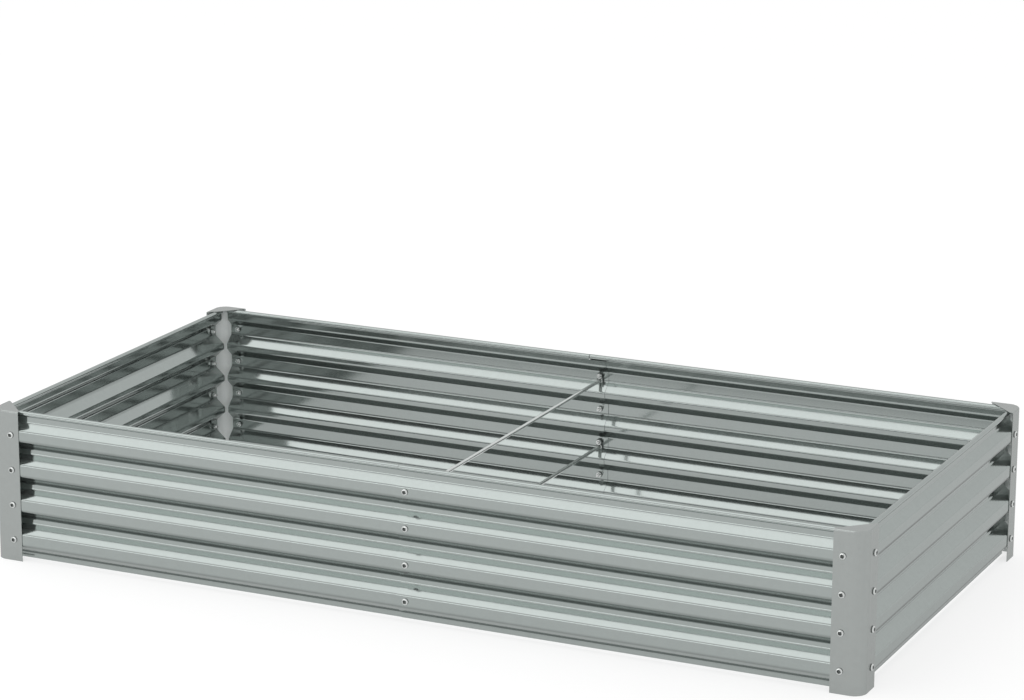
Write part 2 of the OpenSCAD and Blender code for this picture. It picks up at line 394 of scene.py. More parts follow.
def panel_grid(path, places):
    """The panel's sheet, with a row for each point of its section and a column for each place."""
    half_sheet = PANEL_SHEET / 2
    sheet = BentSheet(PANEL_SHEET)
    for side in (-1, 1):
        for row, (middle, along) in enumerate(path):
            across = Vector((along.y, -along.x)) * side
            at = middle + across * half_sheet
            normal = Vector((0, across.x, across.y))
            for column, x in enumerate(places):
                sheet.set_point(side, row, column, (x, at.x + half_sheet, at.y), normal)
    return sheet


def add_panel_edges(sheet, path, rows):
    """The cut edges of a panel: its lower and upper edge, its ends and its notch. The rows are those of
    the section that each column ends at."""
    for column, top in enumerate(rows):
        for row, way in ((0, -1), (top, 1)):
            along = path[row][1]
            sheet.cut_edge((row, column), (row, column + 1), Vector((0, along.x, along.y)) * way)
    for column, top, way in ((0, rows[0], -RIGHT), (len(rows), rows[-1], RIGHT)):
        for row in range(top):
            sheet.cut_edge((row, column), (row + 1, column), way)
    for column in range(1, len(rows)):
        for row in range(rows[column], rows[column - 1]):
            sheet.cut_edge((row, column), (row + 1, column), RIGHT)


def corrugated_sheet(start, end, holes, notch=None):
    """A panel along X, its ridges on the plane y = 0 and its depth along +Y, with bolt holes and, from a
    notch on, no rolled edge."""
    path, bolt_rows, notch_row = panel_section()
    places = column_places(start, end, holes, [notch] if notch is not None else [])
    middles = [(here + there) / 2 for here, there in zip(places, places[1:])]
    hole_columns = [column for column, middle in enumerate(middles)
                    if any(abs(middle - hole) < SAME_PLACE for hole in holes)]
    rows = [notch_row if notch is not None and place > notch - SAME_PLACE else len(path) - 1
            for place in places[:-1]]
    sheet = panel_grid(path, places)
    sheet.cells(rows, [(row, column) for row in bolt_rows for column in hole_columns])
    add_panel_edges(sheet, path, rows)
    for row, height in zip(bolt_rows, ROW_HEIGHTS):
        for column in hole_columns:
            centre = Vector((middles[column], 0, height))
            sheet.bolt_hole(row, column, column + 1, centre, RIGHT, INWARDS)
    return sheet.shape


# Corner posts


def post_stations():
    """Places along the fold of a post in plan, each the outer point and the way inwards."""
    straight = [POST_LEG, BOLT_INSET + HALF_RIDGE_FLAT, BOLT_INSET - HALF_RIDGE_FLAT, CORNER_RADIUS]
    stations = [(x * RIGHT, INWARDS) for x in straight]
    for step in range(1, CORNER_STEPS):
        turn = math.pi / 2 * step / CORNER_STEPS
        inwards = Vector((math.sin(turn), math.cos(turn), 0))
        stations.append((CORNER_RADIUS * (RIGHT + INWARDS - inwards), inwards))
    return stations + [(y * INWARDS, RIGHT) for y in reversed(straight)]


def post_skin(inner):
    """One face of the post's sheet as (depth, height, tilt), from the ground up to the cap."""
    depth = POST_SHEET if inner else 0
    radius = CAP_BEND - depth
    heights = [0] + [h + side * HALF_RIDGE_FLAT for h in ROW_HEIGHTS for side in (-1, 1)]
    skin = [(depth, h, 0) for h in heights]
    for step in range(CAP_STEPS + 1):
        tilt = math.pi / 2 * step / CAP_STEPS
        skin.append((CAP_BEND - radius * math.cos(tilt),
                     POST_HEIGHT - CAP_BEND + radius * math.sin(tilt), tilt))
    return skin


def post_grid(stations):
    """The post's sheet, with a row for each level and a column for each station of its fold."""
    sheet = BentSheet(POST_SHEET)
    for side in (-1, 1):
        for row, (depth, height, tilt) in enumerate(post_skin(side > 0)):
            for column, (outer, inwards) in enumerate(stations):
                normal = side * (inwards * math.cos(tilt) - UP * math.sin(tilt))
                sheet.set_point(side, row, column, outer + depth * inwards + height * UP, normal)
    return sheet


def add_cap(sheet, top, last):
    """The triangular cap over the fold, and the cut edges of the two flanges and of the cap."""
    shape = sheet.shape
    tips = {}
    for side, height in ((-1, POST_HEIGHT), (1, POST_HEIGHT - POST_SHEET)):
        tips[side] = [shape.point((POST_LEG, CAP_TIP, height)), shape.point((CAP_TIP, POST_LEG, height))]
        rim = [sheet.point(side, top, column) for column in range(last + 1)]
        shape.face(rim + tips[side][::-1], towards=-side * UP, finish=int(side > 0))
    for column, tip, way in ((0, 0, RIGHT), (last, 1, INWARDS)):
        for row in range(top):
            sheet.cut_edge((row, column), (row + 1, column), way)
        shape.face([sheet.point(-1, top, column), tips[-1][tip], tips[1][tip], sheet.point(1, top, column)],
                   towards=way)
    shape.face([*tips[-1], *tips[1][::-1]], towards=RIGHT + INWARDS)


def corner_post():
    """The post of the front left corner, with its outside corner at the origin."""
    stations = post_stations()
    top, last = len(post_skin(inner=False)) - 1, len(stations) - 1
    hole_rows = {2 * row + 1: height for row, height in enumerate(ROW_HEIGHTS)}
    # For each flange's column with holes, where its bolts stand and the way to the right along it
    flanges = {1: (BOLT_INSET * RIGHT, RIGHT), last - 2: (BOLT_INSET * INWARDS, -INWARDS)}
    sheet = post_grid(stations)
    sheet.cells([top] * last, [(row, column) for row in hole_rows for column in flanges])
    for column, (foot, rightwards) in flanges.items():
        for row, height in hole_rows.items():
            inwards = stations[column][1]
            sheet.bolt_hole(row, column + 1, column, foot + height * UP, rightwards, inwards)
    for column in range(last):
        sheet.cut_edge((0, column), (0, column + 1), -UP)
    add_cap(sheet, top, last)
    return sheet.shape


# Fasteners and tie rods


def turned(profile, steps, closed=False):
    """A shape turned round the Z axis from (radius, height) points. Faces that bend only a little from
    each other along the profile shade as one."""
    shape = Shape()
    rings = [[shape.point((x, y, height)) for x, y in circle_points(radius, steps)]
             for radius, height in profile]
    pairs = list(zip(range(len(profile)), range(1, len(profile))))
    if closed:
        pairs.append((len(profile) - 1, 0))

    def out(pair):
        """The way that the face between a pair of rings looks, as (outwards, up)."""
        (r0, z0), (r1, z1) = profile[pair[0]], profile[pair[1]]
        return Vector((z1 - z0, r0 - r1)).normalized()

    def shading(at, pair):
        """The way that the face between a pair of rings shades at one of them."""
        mine = out(pair)
        for other in pairs:
            if other != pair and at in other and out(other).angle(mine, math.pi) < SMOOTH_BEND:
                mine = mine + out(other)
        return mine.normalized()

    for pair in pairs:
        ways = [shading(at, pair) for at in pair]
        for k in range(steps):
            normals = []
            for way, spoke in ((ways[0], k), (ways[0], k + 1), (ways[1], k + 1), (ways[1], k)):
                turn = math.tau * (spoke % steps) / steps
                normals.append(Vector((way.x * math.cos(turn), way.x * math.sin(turn), way.y)))
            shape.face(strip(rings[pair[0]], rings[pair[1]], k), normals)
    return shape


def shoulder_profile():
    """Outline of a bolt head as (radius, height), from the middle of its top over its round shoulder."""
    rise = BOLT_HEAD_HEIGHT - BOLT_HEAD_RIM
    outline = []
    for k in range(SHOULDER_STEPS):
        turn = math.pi / 2 * k / SHOULDER_STEPS
        outline.append((BOLT_HEAD_RADIUS * math.sin(turn) ** SHOULDER_FULLNESS,
                        -BOLT_HEAD_RIM - rise * math.cos(turn) ** SHOULDER_FULLNESS))
    return outline + [(BOLT_HEAD_RADIUS, -BOLT_HEAD_RIM)]


def head_blank():
    """Bolt head without its recess, with its seat at z = 0 and its top towards -Z."""
    seat = [(BOLT_HEAD_RADIUS, -BOLT_HEAD_SOFTENING), (BOLT_HEAD_RADIUS - BOLT_HEAD_SOFTENING, 0),
            (BOLT_RADIUS, 0), (0, 0)]
    bm = bmesh.new()
    rows = [[bm.verts.new((x, y, z)) for x, y in (circle_points(radius, HEAD_STEPS) if radius else [(0, 0)])]
            for radius, z in shoulder_profile() + seat]
    for low, high in zip(rows, rows[1:]):
        for k in range(HEAD_STEPS):
            corners = ((low, k), (low, k + 1), (high, k + 1), (high, k))
            ring = [row[spoke % len(row)] for row, spoke in corners]
            bm.faces.new(list(dict.fromkeys(ring)))
    bmesh.ops.recalc_face_normals(bm, faces=bm.faces)
    return mesh_object(bm, "bolt_head_blank")


def recess_cutter():
    """Cross with tapered arms and a tapered square middle, which leaves the recess in a bolt head."""
    half_length, half_width = RECESS_LENGTH / 2, RECESS_WIDTH / 2
    # Height, and the shares of an arm's length and width, at the cutter's mouth and foot
    mouth = (-BOLT_HEAD_HEIGHT - MM, 1.25, 1.7)
    foot = (-BOLT_HEAD_HEIGHT + RECESS_DEPTH, 0.62, 0.9)
    arms = ((half_length, half_width), (half_width, half_length))
    middle = (RECESS_WIDTH, RECESS_WIDTH)
    bm = bmesh.new()
    for half_x, half_y in (*arms, middle):
        layers = []
        for z, long_share, wide_share in (mouth, foot):
            x = half_x * (long_share if half_x == half_length else wide_share)
            y = half_y * (long_share if half_y == half_length else wide_share)
            layers.append([bm.verts.new((across * x, along * y, z))
                           for across, along in ((-1, -1), (1, -1), (1, 1), (-1, 1))])
        bm.faces.new(layers[0])
        bm.faces.new(layers[1][::-1])
        for k in range(4):
            on = (k + 1) % 4
            bm.faces.new([layers[0][k], layers[1][k], layers[1][on], layers[0][on]])
    bmesh.ops.recalc_face_normals(bm, faces=bm.faces)
    return mesh_object(bm, "recess_cutter")


def bolt_head():
    """Bolt head with its cross recess. The recess and the edge of the head are finish 1."""
    blank, cutter = head_blank(), recess_cutter()
    cut = blank.modifiers.new("recess", "BOOLEAN")
    cut.object = cutter
    cut.operation = "DIFFERENCE"
    cut.solver = "EXACT"
    cut.use_self = True
    bpy.context.view_layer.update()
    head = shape_of(blank)
    for made in (blank, cutter):
        bpy.data.objects.remove(made)
    recess_foot = -BOLT_HEAD_HEIGHT + RECESS_DEPTH
    for i, corners in enumerate(head.faces):
        places = [head.points[c] for c in corners]
        topmost, deepest = min(p.z for p in places), max(p.z for p in places)
        meets_foot = recess_foot - BOLT_HEAD_SOFTENING < deepest < -BOLT_HEAD_SOFTENING
        in_recess = meets_foot and max(math.hypot(p.x, p.y) for p in places) < RECESS_REACH
        on_edge = topmost > -BOLT_HEAD_RIM - BOLT_HEAD_SOFTENING
        # Finish 1 is painted shade, in the recess and on the rim of the head
        head.finishes[i] = int(in_recess or on_edge)
    return head


def mesh_object(bm, name):
    """A bmesh as an object in the scene."""
    mesh = bpy.data.meshes.new(name)
    bm.to_mesh(mesh)
    bm.free()
    made = bpy.data.objects.new(name, mesh)
    bpy.context.scene.collection.objects.link(made)
    return made


def shape_of(made):
    """The shape of an object with its modifiers applied, which shades smooth over its flatter edges."""
    made = made.evaluated_get(bpy.context.evaluated_depsgraph_get())
    mesh = bpy.data.meshes.new_from_object(made)
    mesh.polygons.foreach_set("use_smooth", [True] * len(mesh.polygons))
    mesh.set_sharp_from_angle(angle=SMOOTH_CUT)
    shape = Shape()
    shape.points = [v.co.copy() for v in mesh.vertices]
    corner_normals = [Vector(n.vector) for n in mesh.corner_normals]
    for polygon in mesh.polygons:
        shape.faces.append(list(polygon.vertices))
        shape.normals.append([corner_normals[i] for i in polygon.loop_indices])
        shape.finishes.append(0)
    return shape


def threaded_shank(length):
    """Bolt shank along +Z with a helical thread and a tapered tip, open at the head."""
    threaded = length - PLAIN_SHANK
    count = math.ceil(threaded / THREAD_PITCH * STEPS_PER_THREAD)
    rings = [(0.0, False), (PLAIN_SHANK, False)]
    rings += [(PLAIN_SHANK + threaded * k / count, True) for k in range(1, count + 1)]
    shape = Shape()
    made = []
    for z, cut in rings:
        tip_radius = BOLT_RADIUS - max(0, z - (length - TIP_LENGTH)) * TIP_SLOPE
        row = []
        for k in range(SHANK_STEPS):
            turn = math.tau * k / SHANK_STEPS
            wave = abs(2 * ((z / THREAD_PITCH - k / SHANK_STEPS) % 1) - 1)
            radius = min(BOLT_RADIUS - (THREAD_DEPTH * wave if cut else 0), tip_radius)
            row.append(shape.point((radius * math.cos(turn), radius * math.sin(turn), z)))
        made.append(row)
    for low, high in zip(made, made[1:]):
        for k in range(SHANK_STEPS):
            turn = math.tau * (k + 0.5) / SHANK_STEPS
            shape.face(strip(low, high, k), towards=Vector((math.cos(turn), math.sin(turn), 0)))
    shape.face(made[-1], towards=UP)
    return shape


def domed_bolt(length, head):
    """Bolt with its head's seat at z = 0 and its shank along +Z."""
    bolt = placed(head, Matrix.Identity(4))
    bolt.add(threaded_shank(length), Matrix.Identity(4))
    return bolt


def nut_rings(shape, turns):
    """Rings of points of a nut by name, each with its foot and its top ring."""
    flat = NUT_WIDTH / 2
    crown = flat * NUT_CROWN_SHARE
    sides = [flat / math.cos((turn + math.pi / 6) % (math.pi / 3) - math.pi / 6) for turn in turns]
    chamfer_width, chamfer_depth = NUT_BORE_CHAMFER
    # Radius, and drop from the end of the nut, at each step round it
    outlines = {
        "bore": [(NUT_BORE, chamfer_depth)] * len(turns),
        "mouth": [(NUT_BORE + chamfer_width, 0)] * len(turns),
        "crown": [(crown, 0)] * len(turns),
        "rim": [(side, max(0, side - crown) * NUT_CROWN_SLOPE) for side in sides],
    }
    rings = {}
    for name, outline in outlines.items():
        rings[name] = []
        for top in (False, True):
            rings[name].append([
                shape.point((radius * math.cos(turn), radius * math.sin(turn),
                             NUT_HEIGHT - drop if top else drop))
                for turn, (radius, drop) in zip(turns, outline)])
    return rings


def hexagon_nut():
    """Nut with its seat at z = 0, its corners cut back by a round chamfer at both ends."""
    shape = Shape()
    turns = [math.tau * k / NUT_STEPS for k in range(NUT_STEPS)]
    rings = nut_rings(shape, turns)
    for k in range(NUT_STEPS):
        middle = math.tau * (k + 0.5) / NUT_STEPS
        out = Vector((math.cos(middle), math.sin(middle), 0))
        for end, up in enumerate((-UP, UP)):
            for outer, inner, way in (("mouth", "bore", up - out), ("crown", "mouth", up),
                                      ("rim", "crown", up + out)):
                shape.face(strip(rings[outer][end], rings[inner][end], k), towards=way)
        side = math.floor((middle + math.pi / 6) / (math.pi / 3)) * math.pi / 3
        shape.face(strip(*rings["rim"], k), [Vector((math.cos(side), math.sin(side), 0))] * 4)
        here, there = (Vector((-math.cos(turn), -math.sin(turn), 0))
                       for turn in (turns[k], turns[(k + 1) % NUT_STEPS]))
        shape.face(strip(*rings["bore"], k), [here, there, there, here])
    return shape


def flat_washer():
    """Washer with its seat at z = 0 and its softer edge on that side."""
    soft = WASHER_SOFTENING
    return turned([
        (WASHER_BORE, soft), (WASHER_BORE + soft, 0), (WASHER_RADIUS - 2 * soft, 0),
        (WASHER_RADIUS, 2 * soft), (WASHER_RADIUS, WASHER_THICKNESS - soft),
        (WASHER_RADIUS - soft, WASHER_THICKNESS), (WASHER_BORE + soft, WASHER_THICKNESS),
        (WASHER_BORE, WASHER_THICKNESS - soft),
    ], WASHER_STEPS, closed=True)


def tie_end():
    """Flat end of a tie rod, from the plane y = 0 on, hung from a bolt at the origin."""
    half_steps, soft = HOLE_STEPS // 2, TIE_END_SOFTENING
    outline = []
    for start, centre in ((0, 0), (math.pi, -TIE_ROD_DROP)):
        outline += [(start + math.pi * k / half_steps, centre) for k in range(half_steps + 1)]
    shape = Shape()
    layers = []
    for y, inset in ((0, soft), (soft, 0), (TIE_END_THICKNESS - soft, 0), (TIE_END_THICKNESS, soft)):
        radius = TIE_END_RADIUS - inset
        layers.append([shape.point((radius * math.cos(turn), y, centre + radius * math.sin(turn)))
                       for turn, centre in outline])
    ways = [Vector((math.cos(turn), 0, math.sin(turn))) for turn, centre in outline]
    for low, high in zip(layers, layers[1:]):
        for k in range(len(outline)):
            shape.face(strip(low, high, k), strip(ways, ways, k))
    rims = []
    for layer, y, way in ((layers[0], 0, -1), (layers[-1], TIE_END_THICKNESS, 1)):
        rim = [shape.point((x, y, z)) for x, z in circle_points(HOLE_RADIUS, HOLE_STEPS)]
        outwards = Vector((0, way, 0))
        for k in range(half_steps):
            shape.face([layer[k], layer[k + 1], rim[k + 1], rim[k]], towards=outwards)
        lower_rim = rim[half_steps:] + rim[:1]
        shape.face(layer[half_steps:] + layer[:1] + lower_rim[::-1], towards=outwards)
        rims.append(rim)
    bore_wall(shape, *rims, Vector((0, 0, 0)))
    return shape


def tie_rod(reach):
    """A rod along Y with an end at each reach, its bolts on the line z = 0. Its ends are finish 1."""
    shape = Shape()
    for turn in (0, math.pi):
        place = Matrix.Rotation(turn, 4, "Z") @ Matrix.Translation((0, -reach, 0))
        shape.add(tie_end(), place, finish=1)
    inner = reach - TIE_END_THICKNESS
    flare = []
    for k in range(FLARE_STEPS + 1):
        turn = math.pi / 2 * k / FLARE_STEPS
        flare.append((TIE_ROD_RADIUS + TIE_ROD_FLARE * (1 - math.sin(turn)),
                      inner - TIE_ROD_FLARE * (1 - math.cos(turn))))
    profile = [(radius, -height) for radius, height in flare] + flare[::-1]
    rod = turned(profile, ROD_STEPS)
    shape.add(rod, Matrix.Translation((0, 0, -TIE_ROD_DROP)) @ Matrix.Rotation(-math.pi / 2, 4, "X"))
    return shape


# Shader maths


class Value:
    """A node socket that takes part in Python expressions."""

    def __init__(self, graph, socket):
        self.graph, self.socket = graph, socket

    def math(self, operation, *terms):
        return self.graph.node("ShaderNodeMath", {"operation": operation}, dict(enumerate(terms)))

    def fraction(self):
        return self.math("FRACT", self)

    def __add__(self, other):
        return self.math("ADD", self, other)

    def __radd__(self, other):
        return self.math("ADD", other, self)

    def __sub__(self, other):
        return self.math("SUBTRACT", self, other)

    def __rsub__(self, other):
        return self.math("SUBTRACT", other, self)

    def __mul__(self, other):
        return self.math("MULTIPLY", self, other)

    def __rmul__(self, other):
        return self.math("MULTIPLY", other, self)


class Graph:
    """Makes the nodes of one material, or of the world."""

    def __init__(self, owner):
        owner.use_nodes = True
        self.tree = owner.node_tree
        self.tree.nodes.clear()

    def node(self, kind, settings=None, inputs=None, output=0):
        """A node of a kind, with its settings made first and then its sockets' values or links."""
        made = self.tree.nodes.new(kind)
        for name, setting in (settings or {}).items():
            if name == "stops":
                self.set_stops(made.color_ramp, setting)
            else:
                setattr(made, name, setting)
        for key, term in (inputs or {}).items():
            if isinstance(term, Value):
                self.tree.links.new(term.socket, made.inputs[key])
            else:
                made.inputs[key].default_value = term
        return Value(self, made.outputs[output]) if made.outputs else None

    @staticmethod
    def set_stops(ramp, stops):
        while len(ramp.elements) < len(stops):
            ramp.elements.new(1)
        for element, (place, shade) in zip(ramp.elements, stops):
            element.position = place
            element.color = (shade, shade, shade, 1)

    def place(self):
        return self.node("ShaderNodeTexCoord", output="Object")

    def stretched(self, place, scales):
        return self.node("ShaderNodeVectorMath", {"operation": "MULTIPLY"}, {0: place, 1: scales})

    def noise(self, vector, scale=1.0, detail=4, roughness=0.55, distortion=0):
        return self.node("ShaderNodeTexNoise", {}, {
            "Vector": vector, "Scale": scale, "Detail": detail, "Roughness": roughness,
            "Distortion": distortion})

    def ramp(self, factor, stops):
        return self.node("ShaderNodeValToRGB", {"stops": stops}, {"Fac": factor})

    def mixed(self, factor, first, second):
        """A colour between two, on the sockets that the node keeps for colours."""
        return self.node("ShaderNodeMix", {"data_type": "RGBA"}, {0: factor, 6: first, 7: second}, output=2)

    def bump(self, height, strength, distance, normal=None):
        inputs = {"Strength": strength, "Distance": distance, "Height": height}
        if normal is not None:
            inputs["Normal"] = normal
        return self.node("ShaderNodeBump", {}, inputs)


def scaled(colour, share):
    """A colour times a share, opaque."""
    return (*[c * share for c in colour], 1)


def metal(name, inputs, metalness):
    """A metal material from the sockets of its Principled shader, which a function of its graph gives."""
    material = bpy.data.materials.new(name)
    graph = Graph(material)
    shader = graph.node("ShaderNodeBsdfPrincipled", {}, {"Metallic": metalness, **inputs(graph)})
    graph.node("ShaderNodeOutputMaterial", {}, {"Surface": shader})
    return material


def spangle(graph, crystal):
    """Zinc crystals of a size: a flat random value for each."""
    crystals = graph.node("ShaderNodeTexVoronoi", {"feature": "F1"}, {
        "Vector": graph.place(), "Scale": 1 / crystal, "Randomness": 1.0}, output="Color")
    return graph.node("ShaderNodeSeparateColor", {}, {"Color": crystals})


# Finishes, with roughness from 0 for a mirror to 1 for chalk
METALNESS = 0.88
PANEL_COLOUR = (0.352, 0.386, 0.374)
PANEL_ROUGHNESS = 0.09
POST_COLOUR = (0.356, 0.378, 0.368)
POST_ROUGHNESS = 0.22
# Painted light: the inside of the posts is much lighter than their outside, which lifts the shade in the gaps
# behind the panels
POST_INSIDE_PAINTED_LIGHT_COLOUR = (0.860, 0.890, 0.878)
POST_INSIDE_ROUGHNESS = 0.60
POST_INSIDE_METALNESS = 0.4
ROD_COLOUR = (0.560, 0.590, 0.575)
ROD_ROUGHNESS = 0.14
# Painted shade: the flat ends of the tie rods are near black, for the shade round the nuts that hold them
ROD_END_SHADE_COLOUR = (0.120, 0.132, 0.128)
ROD_END_ROUGHNESS = 0.2
BOLT_COLOUR = (0.600, 0.620, 0.610)
BOLT_ROUGHNESS = 0.08
# Painted shade: the recess and the rim of each bolt head are near black
RECESS_AND_RIM_SHADE_COLOUR = (0.100, 0.110, 0.106)
RECESS_ROUGHNESS = 0.45
NUT_COLOUR = (0.740, 0.760, 0.750)
NUT_ROUGHNESS = 0.10
# Painted shade: the washers are near black, for the shade round the nuts
WASHER_SHADE_COLOUR = (0.100, 0.110, 0.106)
WASHER_ROUGHNESS = 0.14

CRYSTAL_SIZE = 9 * MM
TONE_SPREAD = 0.045
MARK_STRENGTH = 0.10
MARK_SHADE = 0.72
# Painted shade along the lower bend of a ridge: where it lies, how wide and how dark it is
RIDGE_SHADE_RISE = 0.2 * MM
RIDGE_SHADE_REACH = 4.5 * MM
RIDGE_SHADE_SHARE = 0.08
DEEP_RIDGE_SHADE = 1.0
FAINT_RIDGE_SHADE = 0.3
# Keeps the sheets from paling where they are seen along their surface
EDGE_TINT = (0.75, 0.75, 0.75, 1)


# Mask of a line of painted shade along the lower bend of each ridge
def painted_ridge_shade(graph):
    """1 along the lower bend of each ridge, for the dark line that the photo shows there, and 0 elsewhere."""
    height = graph.node("ShaderNodeSeparateXYZ", {}, {"Vector": graph.place()}, output="Z")
    lower_bend = ROW_HEIGHTS[0] - RIDGE_HEIGHT / 2 + RIDGE_SHADE_RISE
    turns = (height - (lower_bend - ROW_PITCH / 2)) * (1 / ROW_PITCH)
    reach = RIDGE_SHADE_REACH / ROW_PITCH
    return graph.ramp(turns.fraction(), [(0.5 - reach, 0), (0.5, 1), (0.5 + reach, 0)])


def rolled(along, along_scale, across_scale):
    """Scales of a pattern that is drawn out along the axis of rolling."""
    return [along_scale if axis == along else across_scale for axis in range(3)]


def sheet_zinc(name, colour, along, roughness, ridge_shade_strength=0.0, metalness=METALNESS):
    """Bright zinc-coated sheet, rolled along an axis: faint crystals, roll streaks and handling marks."""

    def inputs(graph):
        place = graph.place()
        streaks = graph.noise(graph.stretched(place, rolled(along, along_scale=2.0, across_scale=260.0)))
        clouds = graph.noise(place, scale=5.5, roughness=0.6)
        crystals = spangle(graph, CRYSTAL_SIZE)
        grain = graph.noise(place, scale=900.0, detail=2)
        handling = graph.noise(graph.stretched(place, (14.0, 14.0, 30.0)),
                               detail=6, roughness=0.7, distortion=0.6)
        marks = graph.ramp(handling, [(0.62, 0), (0.74, 1)])
        tone = 0.35 * streaks + 0.35 * clouds + 0.3 * crystals
        base = graph.mixed(tone, scaled(colour, 1 - TONE_SPREAD), scaled(colour, 1 + TONE_SPREAD))
        base = graph.mixed(MARK_STRENGTH * marks, base, scaled(colour, MARK_SHADE))
        # Painted shade: a dark line along the lower bend of each ridge, deep or faint by wall
        if ridge_shade_strength:
            base = graph.mixed(ridge_shade_strength * painted_ridge_shade(graph), base, scaled(colour, RIDGE_SHADE_SHARE))
        rough = roughness + 0.02 * clouds + 0.01 * crystals + 0.03 * marks
        height = 0.7 * streaks + 0.3 * grain
        drawn_out = graph.stretched(place, rolled(along, along_scale=1.3, across_scale=9.0))
        waves = graph.bump(graph.noise(drawn_out, detail=2), strength=0.035, distance=0.6 * MM)
        normal = graph.bump(height, strength=0.02, distance=0.1 * MM, normal=waves)
        return {"Base Color": base, "Roughness": rough, "Normal": normal, "Specular Tint": EDGE_TINT}

    return metal(name, inputs, metalness)


def fastener_zinc(name, colour, roughness):
    """Plated steel of small turned parts: fine tool marks, dull spots."""

    def inputs(graph):
        place = graph.place()
        clouds = graph.noise(place, scale=160.0, roughness=0.6)
        fine = graph.noise(place, scale=2600.0, detail=3)
        spots = graph.ramp(graph.noise(place, scale=420.0, roughness=0.65), [(0.58, 0), (0.72, 1)])
        base = graph.mixed(clouds, scaled(colour, 0.9), scaled(colour, 1.06))
        base = graph.mixed(0.3 * spots, base, scaled(colour, 0.55))
        rough = roughness + 0.10 * clouds + 0.12 * spots
        normal = graph.bump(fine, strength=0.06, distance=0.05 * MM)
        return {"Base Color": base, "Roughness": rough, "Normal": normal}

    return metal(name, inputs, METALNESS)


# The bed put together


def long_wall(face):
    """From a wall's own frame, with +Y inwards, to the front (-1) or the back (1) of the bed."""
    turn = 0 if face < 0 else math.pi
    return Matrix.Rotation(turn, 4, "Z") @ Matrix.Translation((0, -BED_WIDTH / 2, 0))


def short_wall(end):
    """From a wall's own frame, with +Y inwards, to the left (-1) or the right (1) end of the bed."""
    return Matrix.Rotation(end * math.pi / 2, 4, "Z") @ Matrix.Translation((0, -BED_LENGTH / 2, 0))


def stand_for(shape, name, node, materials):
    """Puts a shape in the scene as the piece that shows in place of a node of the CAD model."""
    piece = shape.piece(name, materials)
    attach(piece, "root")
    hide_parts(node)


# The outer sides of the short walls get deep painted shade under their ridges, all other sides faint
def panel_zincs(wall, along, outer_ridge_shade):
    """The outer and the inner finish of a pair of walls."""
    return [sheet_zinc(f"{wall}_panel_{side}_zinc", PANEL_COLOUR, along, PANEL_ROUGHNESS, ridge_shade_strength)
            for side, ridge_shade_strength in (("outer", outer_ridge_shade), ("inner", FAINT_RIDGE_SHADE))]


def make_panels():
    x_axis, y_axis = 0, 1
    long_zincs = panel_zincs("long", x_axis, FAINT_RIDGE_SHADE)
    short_zincs = panel_zincs("short", y_axis, DEEP_RIDGE_SHADE)
    half_lap, end = LAP_LENGTH / 2, BED_LENGTH / 2 - PANEL_END_INSET
    outer = corrugated_sheet(-half_lap, end, [0, BED_LENGTH / 2 - BOLT_INSET])
    outer = placed(outer, Matrix.Translation((0, RIDGE_FACE, 0)))
    inner = corrugated_sheet(0, end + half_lap, [BOLT_INSET - PANEL_END_INSET, end],
                             notch=end - half_lap - NOTCH_CLEARANCE)
    inner = placed(inner, Matrix.Translation((-end, RIDGE_FACE, 0)) @ Matrix.Rotation(LAP_SWING, 4, "Z"))
    for face, name in ((-1, "front"), (1, "back")):
        for sheet, side in ((inner, "left"), (outer, "right")):
            made = placed(sheet, long_wall(-1))
            if face > 0:
                made = mirrored(made, y_axis)
            stand_for(made, f"{name}_{side}_sheet", f"{name}_panel_{side}", long_zincs)
    reach = BED_WIDTH / 2 - PANEL_END_INSET
    side_sheet = corrugated_sheet(-reach, reach, [s * (BED_WIDTH / 2 - BOLT_INSET) for s in (-1, 1)])
    left = placed(side_sheet, short_wall(-1) @ Matrix.Translation((0, RIDGE_FACE, 0)))
    stand_for(left, "left_sheet", "side_panel_left", short_zincs)
    stand_for(mirrored(left, x_axis), "right_sheet", "side_panel_right", short_zincs)


def make_posts():
    x_axis, y_axis, z_axis = range(3)
    outside = sheet_zinc("post_zinc", POST_COLOUR, z_axis, POST_ROUGHNESS)
    # The inside of the posts gets painted light
    inside = sheet_zinc("post_inside_painted_light_zinc", POST_INSIDE_PAINTED_LIGHT_COLOUR, z_axis, POST_INSIDE_ROUGHNESS,
                        metalness=POST_INSIDE_METALNESS)
    post = placed(corner_post(), Matrix.Translation((-BED_LENGTH / 2, -BED_WIDTH / 2, 0)))
    for face, face_name in ((-1, "front"), (1, "back")):
        for end, end_name in ((-1, "left"), (1, "right")):
            made = post
            if end > 0:
                made = mirrored(made, x_axis)
            if face > 0:
                made = mirrored(made, y_axis)
            stand_for(made, f"{face_name}_{end_name}_post", f"post_{face_name}_{end_name}",
                      [outside, inside])


def make_tie_rods():
    # The second finish, of the rods' flat ends, is painted shade
    zincs = [fastener_zinc("rod_zinc", ROD_COLOUR, ROD_ROUGHNESS),
             fastener_zinc("rod_end_shade_zinc", ROD_END_SHADE_COLOUR, ROD_END_ROUGHNESS)]
    rod = tie_rod(BED_WIDTH / 2 - LAP_STACK - SEAT_GAP)
    for row, name in zip(ROD_ROWS, ("lower", "upper")):
        made = placed(rod, Matrix.Translation((0, 0, ROW_HEIGHTS[row])))
        stand_for(made, f"{name}_rod", f"tie_rod_{name}", zincs)


def seat_depth(kind, row, middle):
    """How far inwards from the wall's outside face a fastener's seat lies."""
    if kind == "bolts":
        return RIDGE_FACE - SEAT_GAP if middle else -SEAT_GAP
    depth = (LAP_STACK if middle else CORNER_STACK) + SEAT_GAP
    if middle and row in ROD_ROWS:
        depth += SEAT_GAP + TIE_END_THICKNESS
    if kind == "nuts":
        depth += WASHER_THICKNESS + SEAT_GAP
    return depth


def own_turn(row, name):
    """A turn that varies over the bed, within a sixth of a whole one."""
    turn_per_row, turn_per_letter, sixth = 37, 23, 60
    return Matrix.Rotation(math.radians((turn_per_row * row + turn_per_letter * len(name)) % sixth), 4, "Z")


